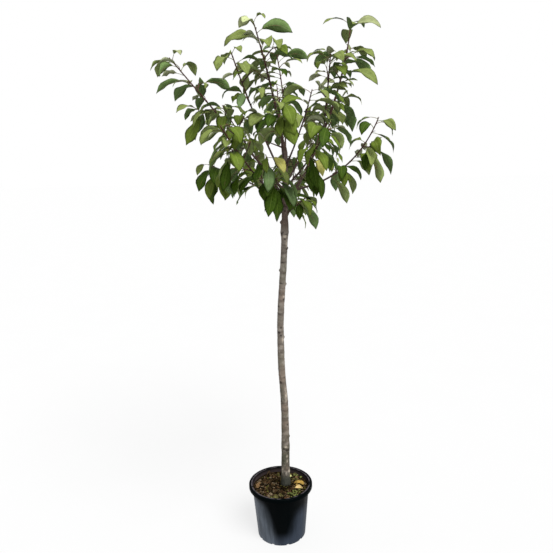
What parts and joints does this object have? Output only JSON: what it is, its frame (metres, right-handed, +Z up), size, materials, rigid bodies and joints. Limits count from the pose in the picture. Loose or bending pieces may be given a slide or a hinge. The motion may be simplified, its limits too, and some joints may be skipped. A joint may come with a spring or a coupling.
{
  "type": "potted bigarreau cherry tree",
  "caption": "Young half-standard cherry tree with a tall bare trunk and an open leafy crown, standing in a black plastic nursery pot.",
  "frame": {"origin": "centre of the pot's flat underside", "axes": "+Z up along the trunk, -Y towards the side the tree is looked at from, +X to that viewer's right"},
  "size_m": [0.902, 0.8778, 2.1799],
  "materials": {
    "pot_plastic": "satin",
    "compost": "matte",
    "bark": "matte",
    "young_bark": "satin",
    "foliage": "satin"
  },
  "bodies": {
    "root": {"pot": "pot_plastic", "compost": "compost", "trunk": "bark", "bough_leader": "young_bark", "bough_upright": "young_bark", "bough_left_long": "young_bark", "bough_left_middle": "young_bark", "bough_left_low": "young_bark", "bough_right_low": "young_bark", "bough_right": "young_bark", "bough_right_fork": "young_bark", "bough_right_middle": "young_bark", "bough_front": "young_bark", "bough_front_left": "young_bark", "bough_front_right": "young_bark", "bough_front_low": "young_bark", "bough_back": "young_bark", "bough_back_left": "young_bark", "bough_back_right": "young_bark", "bough_back_low": "young_bark", "leaves_leader": "foliage", "leaves_upright": "foliage", "leaves_left_long": "foliage", "leaves_left_middle": "foliage", "leaves_left_low": "foliage", "leaves_right_low": "foliage", "leaves_right": "foliage", "leaves_right_fork": "foliage", "leaves_right_middle": "foliage", "leaves_front": "foliage", "leaves_front_left": "foliage", "leaves_front_right": "foliage", "leaves_front_low": "foliage", "leaves_back": "foliage", "leaves_back_left": "foliage", "leaves_back_right": "foliage", "leaves_back_low": "foliage", "leaves_heart": "foliage"}
  },
  "joints": []
}
